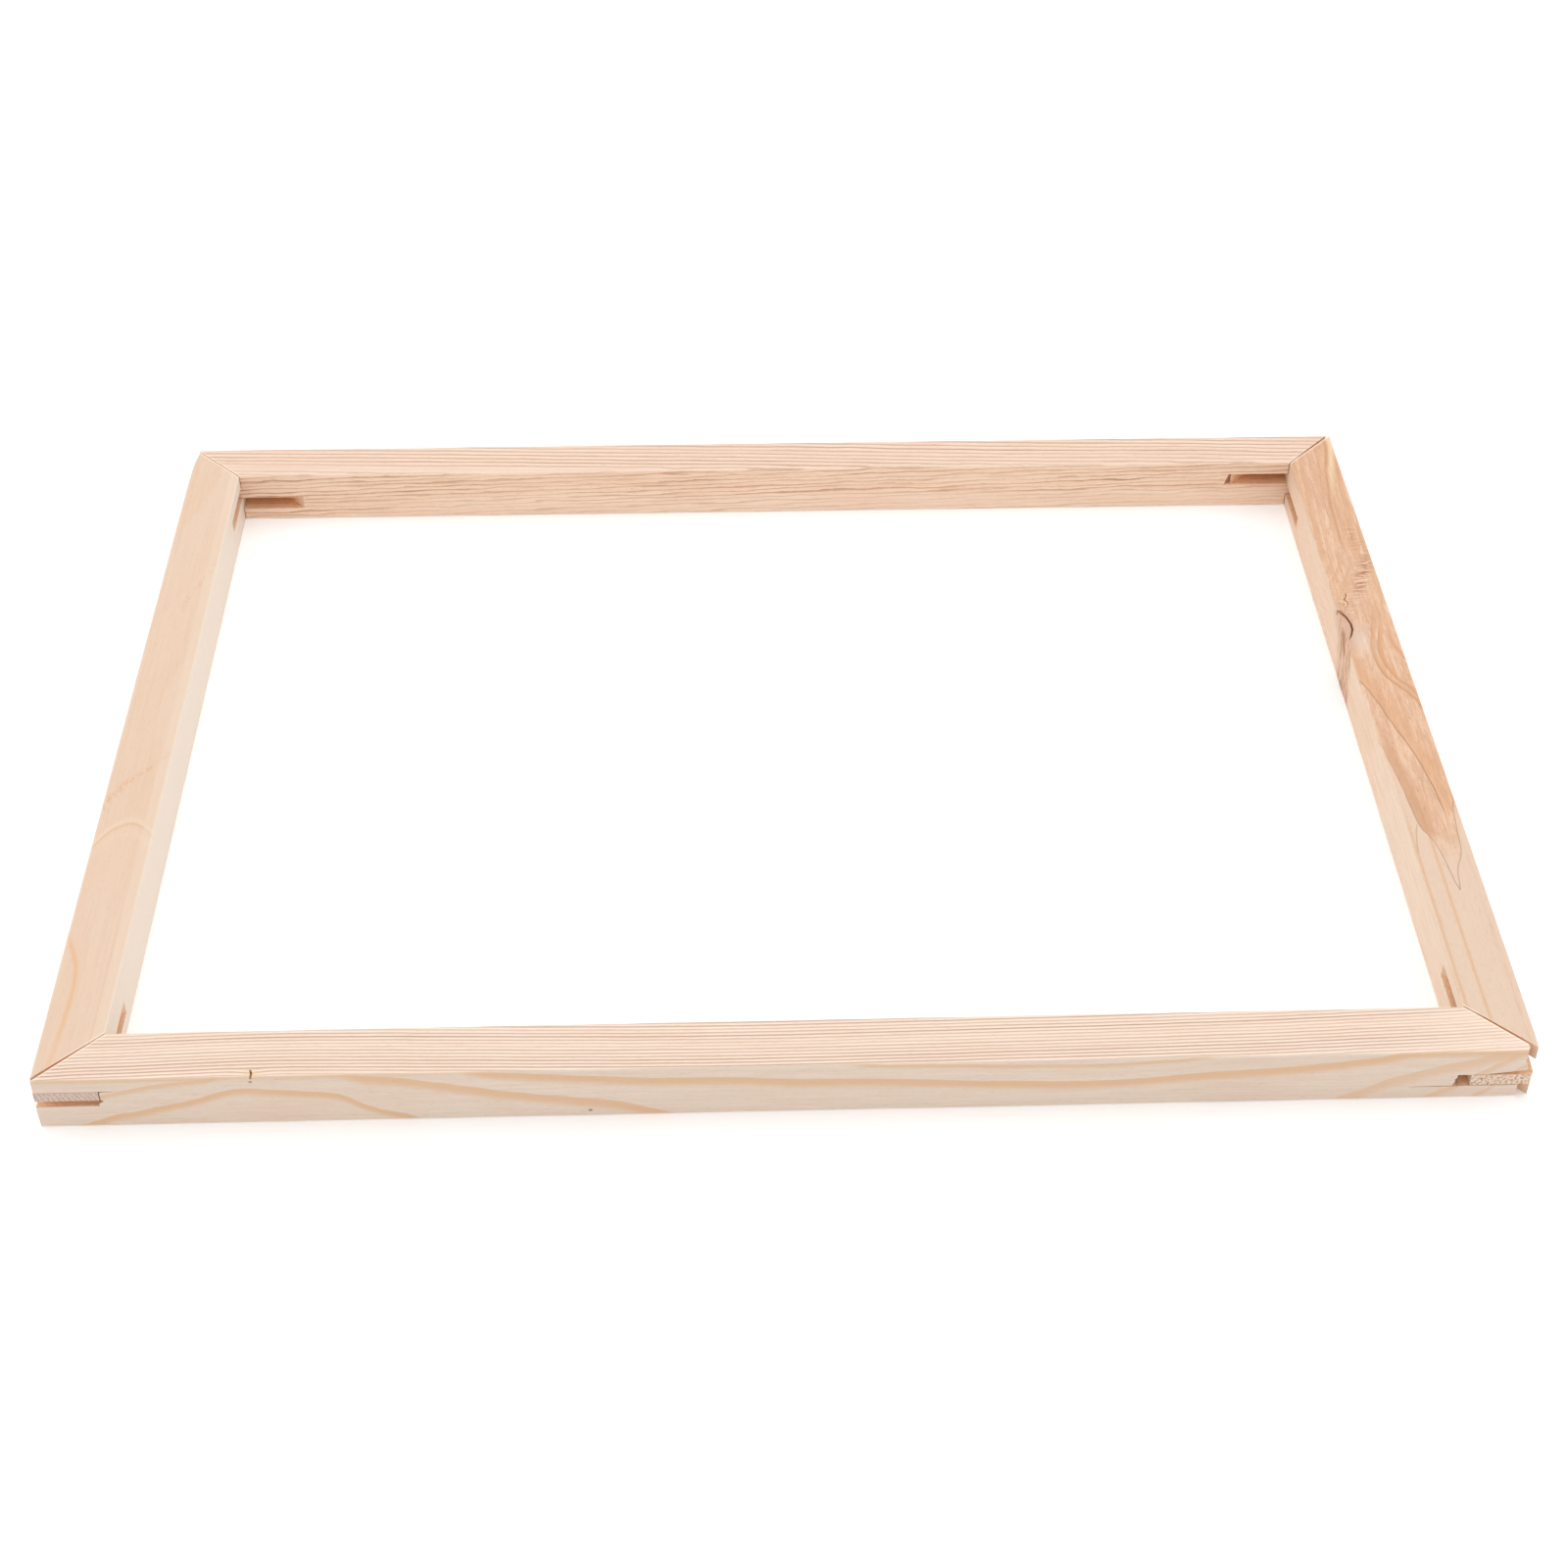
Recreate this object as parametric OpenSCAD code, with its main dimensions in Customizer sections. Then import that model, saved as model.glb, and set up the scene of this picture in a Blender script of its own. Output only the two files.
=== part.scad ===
// Bare wooden screen printing frame: four bars that push together at mitred
// corners. Each end of a bar has a tongue that enters the next bar's slot and
// a slot that takes the next bar's tongue. Every slot runs on past the tongue
// as a key pocket, open to the inside of the frame.
// The origin is at the middle of the frame, on its underside.

/* [Frame] */
// Length over all, that of the front and back bars
frame_l = 400; // [250:5:900]
// Depth over all, that of the left and right bars
frame_d = 300; // [200:5:700]
// Width of every bar, seen from above
bar_w = 17; // [12:0.5:40]

/* [Bar layers] */
// Thickness of the mitred leaf above the two slot layers
top_leaf = 4.7; // [3:0.1:10]
// Height of a slot, and of the layer that it lies in
slot_h = 4.3; // [3:0.1:10]
// Thickness of the mitred leaf under the two slot layers
bottom_leaf = 4.5; // [3:0.1:10]

/* [Corner joint] */
// Gap between two mitred faces
mitre_gap = 0.3; // [0.1:0.05:1]
// Free height between a tongue and its slot, half above and half below
tongue_slack = 0.4; // [0.1:0.05:1]
// Gap beside the tongue on the outer face, at a bar's left end
left_side_gap = 0.4; // [0.2:0.1:6]
// Gap beside the tongue on the outer face, at a bar's right end
right_side_gap = 3.8; // [0.2:0.1:6]
// Length of a key pocket on the inner face, from the tongue to the pocket's end
key_reach = 21; // [8:0.5:40]

/* [Hidden] */
bar_t = top_leaf + 2 * slot_h + bottom_leaf;
tongue_t = slot_h - tongue_slack;
upper_slot_z = bottom_leaf + slot_h;
lower_slot_z = bottom_leaf;
// A mitred face moves back by this much along its bar to leave half the gap
mitre_setback = mitre_gap / 2 * sqrt(2);
// How far a cutting shape runs past the faces that it opens
cut_past = 1;

// A bar lies along +X from 0, outer face at y = 0, inner face at y = bar_w.
// Seen from outside the frame its left end is at x = 0.

// The bar with both ends mitred through its whole thickness
module mitred_stock(bar_l) {
    linear_extrude(bar_t)
        polygon([
            [mitre_setback, 0],
            [bar_l - mitre_setback, 0],
            [bar_l - bar_w - mitre_setback, bar_w],
            [bar_w + mitre_setback, bar_w]
        ]);
}

// Square-ended tongue in the layer whose floor is at layer_z
module tongue(layer_z) {
    translate([0, 0, layer_z + tongue_slack / 2])
        cube([bar_w + mitre_setback, bar_w, tongue_t]);
}

// Slot through both side faces, its end wall slanted along the mitre
module slot(layer_z, side_gap) {
    outer_x = bar_w + side_gap;
    inner_x = bar_w + key_reach;
    slant = (inner_x - outer_x) / bar_w * cut_past;
    translate([0, 0, layer_z])
        linear_extrude(slot_h)
            polygon([
                [-cut_past, -cut_past],
                [outer_x - slant, -cut_past],
                [inner_x + slant, bar_w + cut_past],
                [-cut_past, bar_w + cut_past]
            ]);
}

// What is modelled at a left end, turned round to the bar's right end
module at_right_end(bar_l) {
    translate([bar_l, 0, 0]) mirror([1, 0, 0]) children();
}

module bar(bar_l) {
    difference() {
        mitred_stock(bar_l);
        slot(upper_slot_z, left_side_gap);
        at_right_end(bar_l) slot(lower_slot_z, right_side_gap);
    }
    tongue(lower_slot_z);
    at_right_end(bar_l) tongue(upper_slot_z);
}

// A bar on one side of the frame, turned so that its outer face looks outwards
module placed_bar(bar_l, corner_x, corner_y, turn) {
    translate([corner_x, corner_y, 0]) rotate([0, 0, turn]) bar(bar_l);
}

module front_bar() {
    color([0.93, 0.82, 0.68]) placed_bar(frame_l, -frame_l / 2, -frame_d / 2, 0);
}

module right_bar() {
    color([0.90, 0.72, 0.53]) placed_bar(frame_d, frame_l / 2, -frame_d / 2, 90);
}

module back_bar() {
    color([0.93, 0.80, 0.67]) placed_bar(frame_l, frame_l / 2, frame_d / 2, 180);
}

module left_bar() {
    color([0.92, 0.79, 0.64]) placed_bar(frame_d, -frame_l / 2, frame_d / 2, 270);
}

front_bar();
right_bar();
back_bar();
left_bar();
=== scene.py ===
import math
import bmesh
import bpy
from mathutils import Matrix, Vector, noise


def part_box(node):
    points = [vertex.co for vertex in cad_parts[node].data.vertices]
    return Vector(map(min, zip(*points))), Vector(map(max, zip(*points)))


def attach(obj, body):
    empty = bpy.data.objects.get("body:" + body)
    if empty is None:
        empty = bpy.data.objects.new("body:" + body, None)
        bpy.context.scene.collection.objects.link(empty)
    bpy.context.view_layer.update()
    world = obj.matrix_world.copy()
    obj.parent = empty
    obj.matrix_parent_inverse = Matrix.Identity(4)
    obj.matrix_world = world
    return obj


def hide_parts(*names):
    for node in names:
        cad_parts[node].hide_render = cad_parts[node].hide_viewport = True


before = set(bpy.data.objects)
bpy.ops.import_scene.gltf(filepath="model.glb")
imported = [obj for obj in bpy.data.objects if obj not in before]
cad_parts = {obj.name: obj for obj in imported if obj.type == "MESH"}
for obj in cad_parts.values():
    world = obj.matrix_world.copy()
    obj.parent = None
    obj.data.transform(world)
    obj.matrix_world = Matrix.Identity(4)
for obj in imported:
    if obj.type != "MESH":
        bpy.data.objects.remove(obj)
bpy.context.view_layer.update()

mm = 0.001
longBar, shortBar = 400.0, 300.0  # mm, outside lengths, and the span that drawn lines are laid out over
barWide, barHigh = 17.0, 17.8  # mm, the section of every bar

cameraSettings = {
    "place": (-0.0149, -0.6158, 0.5149),
    "pitch": 40.57,  # degrees below the horizon
    "yaw": 2.28,  # degrees to the right of straight ahead
    "roll": 0.50,
    "lens": 58.82,
    "shift": (-0.0152, 0.0),
    "sensor": 36,  # mm
    "clip": (0.02, 200),  # metres
}


def makeCamera(s):
    pitch, yaw, roll = (math.radians(s[k]) for k in ("pitch", "yaw", "roll"))
    ahead = Vector((math.sin(yaw) * math.cos(pitch), math.cos(yaw) * math.cos(pitch), -math.sin(pitch)))
    level = Vector((math.cos(yaw), -math.sin(yaw), 0))
    over = level.cross(ahead)
    right = level * math.cos(roll) + over * math.sin(roll)
    up = over * math.cos(roll) - level * math.sin(roll)
    data = bpy.data.cameras.new("studioCamera")
    data.lens = s["lens"]
    data.sensor_width = s["sensor"]
    data.shift_x, data.shift_y = s["shift"]
    data.clip_start, data.clip_end = s["clip"]
    camera = bpy.data.objects.new("studioCamera", data)
    axes = Matrix((right, up, -ahead)).transposed().to_4x4()
    camera.matrix_world = Matrix.Translation(s["place"]) @ axes
    bpy.context.scene.collection.objects.link(camera)
    bpy.context.scene.camera = camera


makeCamera(cameraSettings)
print("camera in place")


class Wire:
    # one output socket: + - * / on wires and numbers add Math nodes
    def __init__(self, sheet, socket):
        self.sheet, self.socket = sheet, socket

    def __add__(self, other):
        return self.sheet.maths("ADD", self, other)

    def __sub__(self, other):
        return self.sheet.maths("SUBTRACT", self, other)

    def __mul__(self, other):
        return self.sheet.maths("MULTIPLY", self, other)

    def __truediv__(self, other):
        return self.sheet.maths("DIVIDE", self, other)

    def __rsub__(self, other):
        return self.sheet.maths("SUBTRACT", other, self)

    def __rtruediv__(self, other):
        return self.sheet.maths("DIVIDE", other, self)

    def __neg__(self):
        return self.sheet.maths("MULTIPLY", self, -1.0)

    __radd__ = __add__
    __rmul__ = __mul__


class Sheet:
    # the node tree of one new material
    def __init__(self, name):
        self.material = bpy.data.materials.new(name)
        self.material.use_nodes = True
        self.tree = self.material.node_tree
        self.tree.nodes.clear()

    def node(self, kind, settings, sockets, output=0):
        made = self.tree.nodes.new(kind)
        for key, value in settings.items():
            if key == "stops":
                made.color_ramp.interpolation = "CARDINAL"
                ends = (made.color_ramp.elements[0], made.color_ramp.elements[1])
                for stop, (position, colour) in zip(ends, (value[0], value[-1])):
                    stop.position, stop.color = position, colour
                for position, colour in value[1:-1]:
                    made.color_ramp.elements.new(position).color = colour
            else:
                setattr(made, key, value)
        for key, value in sockets.items():
            if isinstance(value, Wire):
                self.tree.links.new(value.socket, made.inputs[key])
            else:
                made.inputs[key].default_value = value
        return Wire(self, made.outputs[output])

    def finish(self, surface):
        out = self.tree.nodes.new("ShaderNodeOutputMaterial")
        self.tree.links.new(surface.socket, out.inputs["Surface"])

    def maths(self, operation, a, b=0.0):
        return self.node("ShaderNodeMath", {"operation": operation}, {0: a, 1: b})

    def smooth(self, value, low, high):
        return self.node("ShaderNodeMapRange", {"interpolation_type": "SMOOTHSTEP"},
                         {"Value": value, "From Min": low, "From Max": high})

    def vector(self, x, y, z):
        return self.node("ShaderNodeCombineXYZ", {}, {"X": x, "Y": y, "Z": z})

    def noise(self, place, detail=2.0, roughness=0.5, distortion=0.0):
        return self.node("ShaderNodeTexNoise", {},
                         {"Vector": place, "Scale": 1.0, "Detail": detail, "Roughness": roughness,
                          "Distortion": distortion})

    def mix(self, factor, a, b, blend="MIX"):
        return self.node("ShaderNodeMix", {"data_type": "RGBA", "blend_type": blend, "clamp_factor": True},
                         {"Factor": factor, 6: a, 7: b}, 2)

    def drawn(self, u, length, points):
        # a line drawn along the bar: points are mm along and mm across, and it holds its ends' values
        low, high = -6.0, 24.0  # mm across that the ramp's black and white stand for
        stops = [(a / length, ((b - low) / (high - low),) * 3 + (1,)) for a, b in points]
        ramp = self.node("ShaderNodeValToRGB", {"stops": stops}, {"Fac": u / length})
        return ramp * (high - low) + low

    def under(self, line, across, width):
        # 1 just below the drawn line, fading out by the width
        depth = line - across
        return self.smooth(depth, -0.12, 0.15) * (1 - self.smooth(depth, width * 0.45, width * 1.3))

    def bell(self, value, centre, width):
        # 1 at the centre, falling smoothly to nothing a couple of widths away
        off = (value - centre) / width
        return self.maths("EXPONENT", -(off * off))

    def spot(self, a, b, place, reach):
        # a soft round mark on the surface, 1 at its place
        return self.bell(a, place[0], reach[0]) * self.bell(b, place[1], reach[1])

    def span(self, value, rise, fall, share=1.0):
        # up over the rise, and down by the share over the fall
        return self.smooth(value, *rise) * (1 - self.smooth(value, *fall) * share)

    def innerFace(self, v):
        # 1 on the face that looks into the frame
        return self.smooth(v, 16.6, 16.95)


plainPine = {
    "early": (0.86, 0.68, 0.54, 1),  # the pale wood between two lines
    "late": (0.64, 0.44, 0.32, 1),
    "lateShare": 0.9,
    "lateFrom": 0.45,  # share of a ring that stays pale
    "accent": 0.0,  # share of the thin dark stroke on the very edge of wide rings
    "accentColour": (0.50, 0.25, 0.12, 1),
    "tone": (0.80, 0.57, 0.42, 1),  # broad warmer clouds
    "toneShare": 0.3,
    "streaks": 0.35,
    "streakShade": (0.86, 0.72, 0.62, 1),
    "pores": 0.35,
    "fibreShade": (0.84, 0.72, 0.64, 1),
    "poreShade": (0.74, 0.58, 0.48, 1),
    "endGrain": (0.58, 0.43, 0.35, 1),
    "endDark": (0.36, 0.22, 0.17, 1),
    "endPale": (0.90, 0.74, 0.62, 1),
    "endSpeckle": 0.4,
    "endArcs": 0.35,
    "cut": (0.98, 0.63, 0.37, 1),  # fresh saw cuts, laid on more strongly a few mm into a slot: partly the sawn wood's colour, partly painted shade
    # painted shade, darker deeper inside a slot
    "deepSlotShade": (0.84, 0.39, 0.17, 1),
    "litSlotFloor": (0.98, 0.68, 0.43, 1),  # the sawn floor of a slot, the brightest of it: painted light where light falls on up-facing floors
    "sawShade": (0.80, 0.58, 0.42, 1),
    "crack": (-99.0, 1.0),  # mm along and reach of the painted shade inside a crack
    "crackShadeColour": (0.40, 0.18, 0.085, 1),
    "grainSize": 0.6,  # mm, the speckle of the end grain
    # paler arrises and mitred edges: partly wear, partly painted highlight
    "paleArris": 0.35,
    "wornAndHighlightColour": (0.96, 0.82, 0.67, 1),
    "relief": 0.6,
    "reliefDepth": 0.12,  # mm
    "shine": 0.3,
    "seed": 0.0,
}


def pine(name, s, figure, length, isCut):
    s = {**plainPine, **s}
    sheet = Sheet(name)
    place = sheet.node("ShaderNodeTexCoord", {}, {}, "Object")
    normal = sheet.node("ShaderNodeTexCoord", {}, {}, "Normal")
    scaled = sheet.node("ShaderNodeVectorMath", {"operation": "SCALE"}, {0: place, "Scale": 1 / mm})
    u, v, z = (sheet.node("ShaderNodeSeparateXYZ", {}, {0: scaled}, k) for k in "XYZ")
    seed = s["seed"]

    # yearly rings: the figure gives how many have gone by at each point of the bar
    waver = sheet.noise(sheet.vector(u / 26 + seed, v / 6, z / 6), 3.0) - 0.5
    drift = sheet.noise(sheet.vector(u / 95 + seed, v / 22, z / 22), 2.0) - 0.5
    rings, strength, stains = figure(sheet, u, v, z, waver, drift)
    phase = sheet.maths("FRACT", rings)
    ringNumber = rings - phase
    each = sheet.node("ShaderNodeTexWhiteNoise", {"noise_dimensions": "1D"}, {"W": ringNumber + seed})
    late = sheet.span(phase, (s["lateFrom"], 0.88), (0.93, 1.0)) * (each * 0.5 + 0.5) * strength
    stroke = sheet.span(phase, (0.94, 0.962), (0.978, 0.992)) * s["accent"] * strength

    # fibres: long thin streaks, short fine pores, and broad clouds of tone
    streak = sheet.noise(sheet.vector(u / 24 + seed, v * 1.5, z * 1.5), 4.0, 0.62)
    fibre = sheet.noise(sheet.vector(u / 3.2 + seed, v * 5.5, z * 5.5), 2.0, 0.6)
    pore = sheet.smooth(sheet.noise(sheet.vector(u / 1.9, v * 4.2 + seed, z * 4.2), 1.0), 0.60, 0.74)
    cloud = sheet.noise(sheet.vector(u / 60 + seed, v / 8, z / 8), 3.0)
    colour = sheet.mix(late * s["lateShare"], s["early"], s["late"])
    colour = sheet.mix(sheet.smooth(cloud, 0.38, 0.66) * s["toneShare"], colour, s["tone"])
    colour = sheet.mix(stroke, colour, s["accentColour"])
    shades = [
        (sheet.smooth(streak, 0.35, 0.72) * s["streaks"], s["streakShade"], "MULTIPLY"),
        (sheet.smooth(fibre, 0.42, 0.72) * s["pores"] * 0.6, s["fibreShade"], "MULTIPLY"),
        (pore * s["pores"], s["poreShade"], "MULTIPLY"),
    ]
    for mask, shade, *blend in shades + stains:
        colour = sheet.mix(mask, colour, shade, *blend)

    # end grain shows wherever the face turns across the fibres
    normalU, normalZ = (sheet.node("ShaderNodeSeparateXYZ", {}, {0: normal}, k) for k in "XZ")
    endFace = sheet.smooth(sheet.maths("ABSOLUTE", normalU), 0.80, 0.97)
    speckle = sheet.noise(sheet.vector(u / 5, v / s["grainSize"], z / s["grainSize"]), 4.0, 0.7)
    arcs = sheet.maths("SINE", (v + z * 0.45 + waver * 1.5) * 4.6) * 0.5 + 0.5
    endColour = sheet.mix(arcs * s["endArcs"], s["endGrain"], s["endDark"])
    endColour = sheet.mix(sheet.smooth(speckle, 0.47, 0.60) * s["endSpeckle"], endColour, s["endDark"])
    endColour = sheet.mix(sheet.smooth(speckle, 0.53, 0.40) * 0.35, endColour, s["endPale"])
    if isCut:
        sawn = sheet.noise(sheet.vector(u * 1.3 + v * 0.9, v * 0.4, z * 2.6), 3.0, 0.6)
        inside = sheet.maths("MINIMUM", v, sheet.maths("ABSOLUTE", v - barWide))  # mm in from the faces
        # inside slots and cuts: the cut colour and painted shade grow with depth from the faces, and
        # up-facing floors get painted light
        colour = sheet.mix(sheet.smooth(inside, 0.0, 3.0) * 0.7 + 0.1, colour, s["cut"])
        colour = sheet.mix(sheet.smooth(inside, 1.2, 6.0) * 0.5, colour, s["deepSlotShade"])
        colour = sheet.mix(sheet.smooth(normalZ, 0.5, 0.9) * 0.55, colour, s["litSlotFloor"])
        colour = sheet.mix(sheet.smooth(sawn, 0.35, 0.65) * 0.3, colour, s["sawShade"], "MULTIPLY")
        # painted shade inside a crack
        colour = sheet.mix(sheet.bell(u, *s["crack"]) * 0.7, colour, s["crackShadeColour"])
        endColour = sheet.mix(0.45, endColour, s["cut"])
    else:
        # the arrises and the mitred edges are painted a little paler: partly wear from handling, partly a
        # painted highlight on the eased edges
        fromV = sheet.maths("ABSOLUTE", v - barWide / 2)
        fromZ = sheet.maths("ABSOLUTE", z - barHigh / 2)
        nearEdge = sheet.smooth(sheet.maths("MINIMUM", fromV + 0.4, fromZ), 8.0, 8.7)
        mitre = sheet.maths("MINIMUM", *(sheet.maths("ABSOLUTE", off) for off in (u - v, length - u - v)))
        nearMitre = (1 - sheet.smooth(mitre, 0.5, 1.5)) * sheet.smooth(fromZ, 8.4, 8.7)
        wornAndHighlight = sheet.maths("MAXIMUM", nearEdge * s["paleArris"], nearMitre) * (fibre * 0.5 + 0.5)
        colour = sheet.mix(wornAndHighlight * 0.85, colour, s["wornAndHighlightColour"])
    colour = sheet.mix(endFace, colour, endColour)

    rough = streak * 0.25 + late * -0.08 + 0.5
    height = late * 0.9 + streak * 0.5 + fibre * 0.35 - pore * 0.4 + endFace * speckle * 1.6
    if isCut:
        height = height + sawn * 2.2
    bump = sheet.node("ShaderNodeBump", {},
                      {"Strength": s["relief"], "Distance": s["reliefDepth"] * mm, "Height": height})
    surface = sheet.node("ShaderNodeBsdfPrincipled", {},
                         {"Base Color": colour, "Roughness": rough, "Normal": bump,
                          "Specular IOR Level": s["shine"]})
    sheet.finish(surface)
    return sheet.material


def prism(points, low, high, plane="uv"):
    # solid cutter: an outline in mm in the uv or uz plane, carried through the other axis
    cutter = bmesh.new()
    rows = []
    for level in (low, high):
        if plane == "uv":
            rows.append([cutter.verts.new((a * mm, b * mm, level * mm)) for a, b in points])
        else:
            rows.append([cutter.verts.new((a * mm, level * mm, b * mm)) for a, b in points])
    cutter.faces.new(rows[0])
    cutter.faces.new(rows[1])
    for i in range(len(points)):
        j = (i + 1) % len(points)
        cutter.faces.new((rows[0][i], rows[0][j], rows[1][j], rows[1][i]))
    bmesh.ops.recalc_face_normals(cutter, faces=cutter.faces)
    mesh = bpy.data.meshes.new("cutter")
    cutter.to_mesh(mesh)
    cutter.free()
    solid = bpy.data.objects.new("cutter", mesh)
    bpy.context.scene.collection.objects.link(solid)
    return solid


def carve(piece, cutters):
    for cutter in cutters:
        step = piece.modifiers.new("carve", "BOOLEAN")
        step.operation, step.solver, step.object = "DIFFERENCE", "EXACT", cutter
    graph = bpy.context.evaluated_depsgraph_get()
    carved = bpy.data.meshes.new_from_object(piece.evaluated_get(graph))
    piece.modifiers.clear()
    old = piece.data
    piece.data = carved
    bpy.data.meshes.remove(old)
    for cutter in cutters:
        mesh = cutter.data
        bpy.data.objects.remove(cutter)
        bpy.data.meshes.remove(mesh)


def barFrame(node, turn):
    # where a bar's own axes stand: u along it, v in from its outer face, z up
    low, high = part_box(node)
    corners = {0: (low.x, low.y), 90: (high.x, low.y), 180: (high.x, high.y), 270: (low.x, high.y)}
    return Matrix.Translation((*corners[turn], 0)) @ Matrix.Rotation(math.radians(turn), 4, "Z")


def flatten(mesh):
    bmesh.ops.remove_doubles(mesh, verts=mesh.verts, dist=0.002 * mm)
    bmesh.ops.dissolve_limit(mesh, angle_limit=math.radians(0.4), verts=mesh.verts, edges=mesh.edges)


easing = {
    "near": 0.02,  # mm, how close to the bar's section a long arris lies
    "shortest": 0.8,  # mm, shorter edges stay sharp
    "leastBend": 25,  # degrees
}


def easeEdges(mesh, size, s):
    width, height = size
    near = easing["near"] * mm

    def onSection(point):
        atV = min(abs(point.y), abs(point.y - width)) < near
        atZ = min(abs(point.z), abs(point.z - height)) < near
        return atV and atZ

    arrises, cuts = [], []
    for edge in mesh.edges:
        if len(edge.link_faces) != 2 or edge.calc_length() < easing["shortest"] * mm:
            continue
        if edge.calc_face_angle(0) < math.radians(easing["leastBend"]) or not edge.is_convex:
            continue
        a, b = (vert.co for vert in edge.verts)
        if onSection(a) and onSection(b) and abs((a - b).normalized().x) > 0.999:
            arrises.append(edge)
        else:
            cuts.append(edge)
    for edges, offset, segments in ((arrises, s["arris"], 4), (cuts, s["cutEdge"], 1)):
        kept = [edge for edge in edges if edge.is_valid]
        bmesh.ops.bevel(mesh, geom=kept, offset=offset * mm, offset_type="OFFSET", segments=segments,
                        profile=0.5, affect="EDGES", clamp_overlap=True)


handWear = {
    "every": 2.5,  # mm between the rows of points along a bar
    "reach": 1.2,  # mm in from an arris
    "slowWave": 45,  # mm
    "quickWave": 7,
    "slowSink": 0.05,  # mm
    "quickSink": 0.10,
}


def addRows(mesh, length):
    # rows of points across the bar, for the wear to move
    count = round(length / mm / handWear["every"])
    for i in range(1, count):
        bmesh.ops.bisect_plane(mesh, geom=mesh.verts[:] + mesh.edges[:] + mesh.faces[:], dist=1e-7,
                               plane_co=(length * i / count, 0, 0), plane_no=(1, 0, 0))


def wearArrises(mesh, size, seed):
    # small, uneven wear: the long arrises sink by up to 0.15 mm
    width, height = size
    w = handWear
    for vert in mesh.verts:
        u, v, z = vert.co / mm
        side = 1 if v < width / mm / 2 else -1
        top = 1 if z < height / mm / 2 else -1
        slow = noise.noise(Vector((u / w["slowWave"] + seed, side, top))) * 0.5 + 0.5
        quick = noise.noise(Vector((u / w["quickWave"], side * 3 + seed, top * 3))) * 0.5 + 0.5
        edgeV = min(v, width / mm - v)
        edgeZ = min(z, height / mm - z)
        if edgeV < w["reach"] and edgeZ < w["reach"]:
            sink = w["slowSink"] * slow + w["quickSink"] * quick
            vert.co.y += side * sink * mm
            vert.co.z += top * sink * mm


def sortFaces(mesh, length, width, height):
    # planed faces and worn tips take the first finish, and the insides of slots and cuts the second
    for face in mesh.faces:
        face.smooth = False
        centre, normal = face.calc_center_median() / mm, face.normal
        outer = abs(normal.y) > 0.6 and centre.y < 3.2 and abs(normal.z) < 0.2
        onSide = outer or (abs(normal.y) > 0.99 and centre.y > width / mm - 0.05)
        onTop = abs(normal.z) > 0.99 and (centre.z < 0.05 or centre.z > height / mm - 0.05)
        atTip = abs(normal.x) > 0.9 and (centre.x < 2 or centre.x > length / mm - 5)
        face.material_index = 0 if onSide or onTop or atTip else 1


def makeBar(node, s, figure):
    placed = barFrame(node, s["turn"])
    low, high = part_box(node)
    length = max(high.x - low.x, high.y - low.y)
    size = (min(high.x - low.x, high.y - low.y), high.z - low.z)
    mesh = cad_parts[node].data.copy()
    mesh.materials.clear()
    mesh.transform(placed.inverted())
    for name in [attribute.name for attribute in mesh.attributes if not attribute.is_required]:
        mesh.attributes.remove(mesh.attributes[name])
    piece = bpy.data.objects.new(node + "_wood", mesh)
    bpy.context.scene.collection.objects.link(piece)
    work = bmesh.new()
    work.from_mesh(mesh)
    flatten(work)
    work.to_mesh(mesh)
    work.free()
    if s["cuts"]:
        carve(piece, [prism(*cut) for cut in s["cuts"]])
    work = bmesh.new()
    work.from_mesh(piece.data)
    flatten(work)
    sortFaces(work, length, *size)
    easeEdges(work, size, s)
    addRows(work, length)
    wearArrises(work, size, s["seed"])
    bmesh.ops.recalc_face_normals(work, faces=work.faces)
    work.to_mesh(piece.data)
    work.free()
    for finish, isCut in (("Planed", False), ("SawCut", True)):
        piece.data.materials.append(pine(node + finish, s["wood"], figure, length / mm, isCut))
    piece.matrix_world = placed
    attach(piece, node)
    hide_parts(node)
    print(node, "made:", len(piece.data.vertices), "points")


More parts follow.
